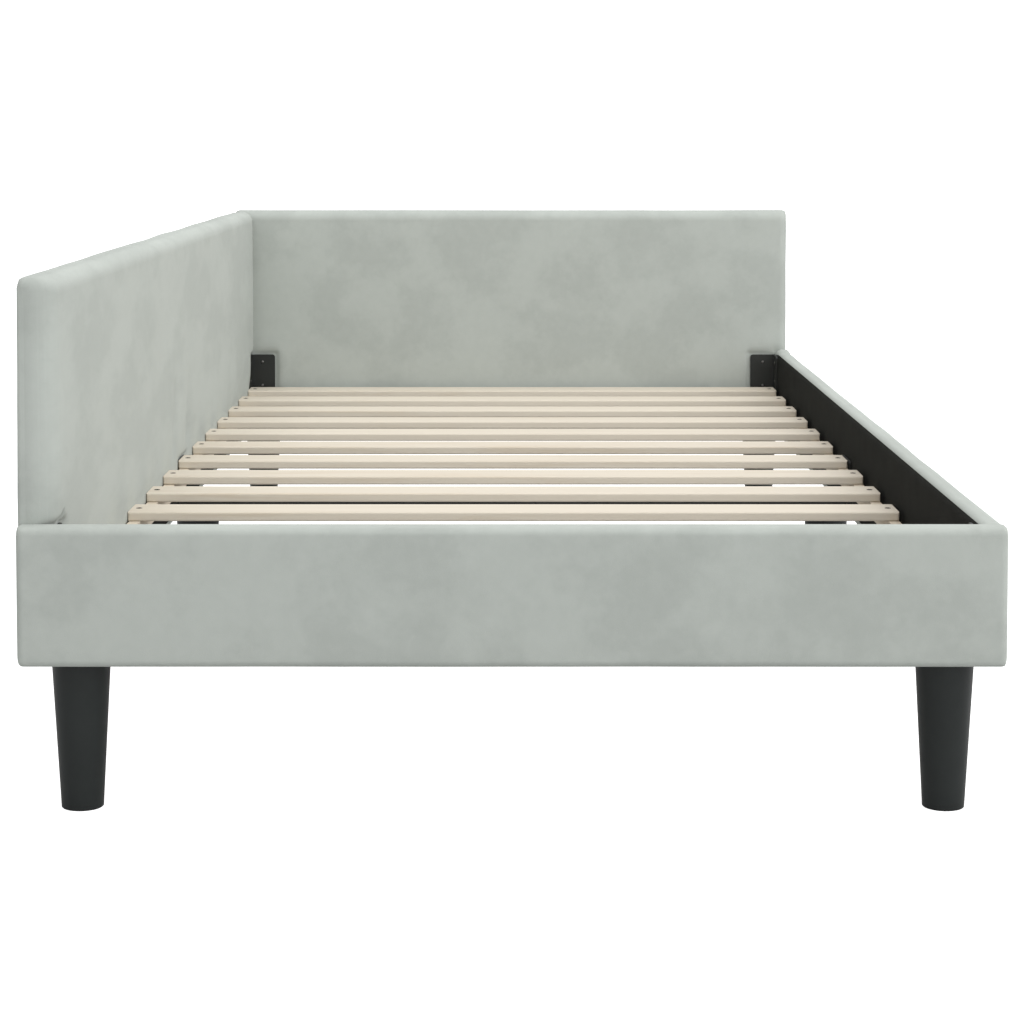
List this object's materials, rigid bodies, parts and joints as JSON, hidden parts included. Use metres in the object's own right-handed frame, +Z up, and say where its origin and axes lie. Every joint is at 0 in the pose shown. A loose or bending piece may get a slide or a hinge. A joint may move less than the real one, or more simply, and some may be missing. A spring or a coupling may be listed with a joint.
{
  "type": "daybed",
  "caption": "Upholstered daybed with a high padded back and headboard, low foot and side rails, an open slatted base and tapered legs.",
  "frame": {"origin": "on the floor, under the centre of the bed", "axes": "+Z up, -Y towards the low foot rail, +Y towards the high headboard, -X towards the backrest, +X towards the open side"},
  "size_m": [1.076, 2.1, 0.59],
  "materials": {
    "velvet": "light grey short-pile velvet with soft mottling",
    "lining": "thin black non-woven lining",
    "foam": "cream upholstery foam, hidden",
    "board": "raw pressed board, hidden",
    "slat_wood": "pale sanded softwood",
    "batten_wood": "pale sawn softwood",
    "black_steel": "satin black powder coat",
    "leg_plastic": "satin near-black",
    "glide": "soft black pad",
    "zinc_screw": "zinc-plated",
    "black_screw": "black oxide"
  },
  "bodies": {
    "root": {"foot_rail_cover": "velvet", "foot_rail_foam": "foam", "foot_rail_board": "board", "foot_rail_lining": "lining", "side_rail_cover": "velvet", "side_rail_foam": "foam", "side_rail_board": "board", "side_rail_lining": "lining", "backrest_cover": "velvet", "backrest_foam": "foam", "backrest_board": "board", "backrest_lining": "lining", "headboard_cover": "velvet", "headboard_foam": "foam", "headboard_board": "board", "headboard_lining": "lining", "batten_left": "batten_wood", "batten_right": "batten_wood", "slat_01": "slat_wood", "slat_02": "slat_wood", "slat_03": "slat_wood", "slat_04": "slat_wood", "slat_05": "slat_wood", "slat_06": "slat_wood", "slat_07": "slat_wood", "slat_08": "slat_wood", "slat_09": "slat_wood", "slat_10": "slat_wood", "slat_11": "slat_wood", "slat_12": "slat_wood", "slat_13": "slat_wood", "corner_bracket_foot_left": "black_steel", "corner_bracket_foot_right": "black_steel", "corner_bracket_head_left": "black_steel", "corner_bracket_head_right": "black_steel", "mid_bracket_left": "black_steel", "mid_bracket_right": "black_steel", "mid_crossbar": "black_steel", "leg_foot_left": "leg_plastic", "leg_foot_right": "leg_plastic", "leg_mid_left": "leg_plastic", "leg_mid_right": "leg_plastic", "leg_head_left": "leg_plastic", "leg_head_right": "leg_plastic", "leg_glides": "glide", "leg_studs": "zinc_screw", "leg_nuts": "zinc_screw", "slat_screws": "black_screw", "batten_screws": "zinc_screw", "bracket_screws": "zinc_screw", "crossbar_bolts": "zinc_screw", "crossbar_nuts": "zinc_screw"}
  },
  "joints": []
}
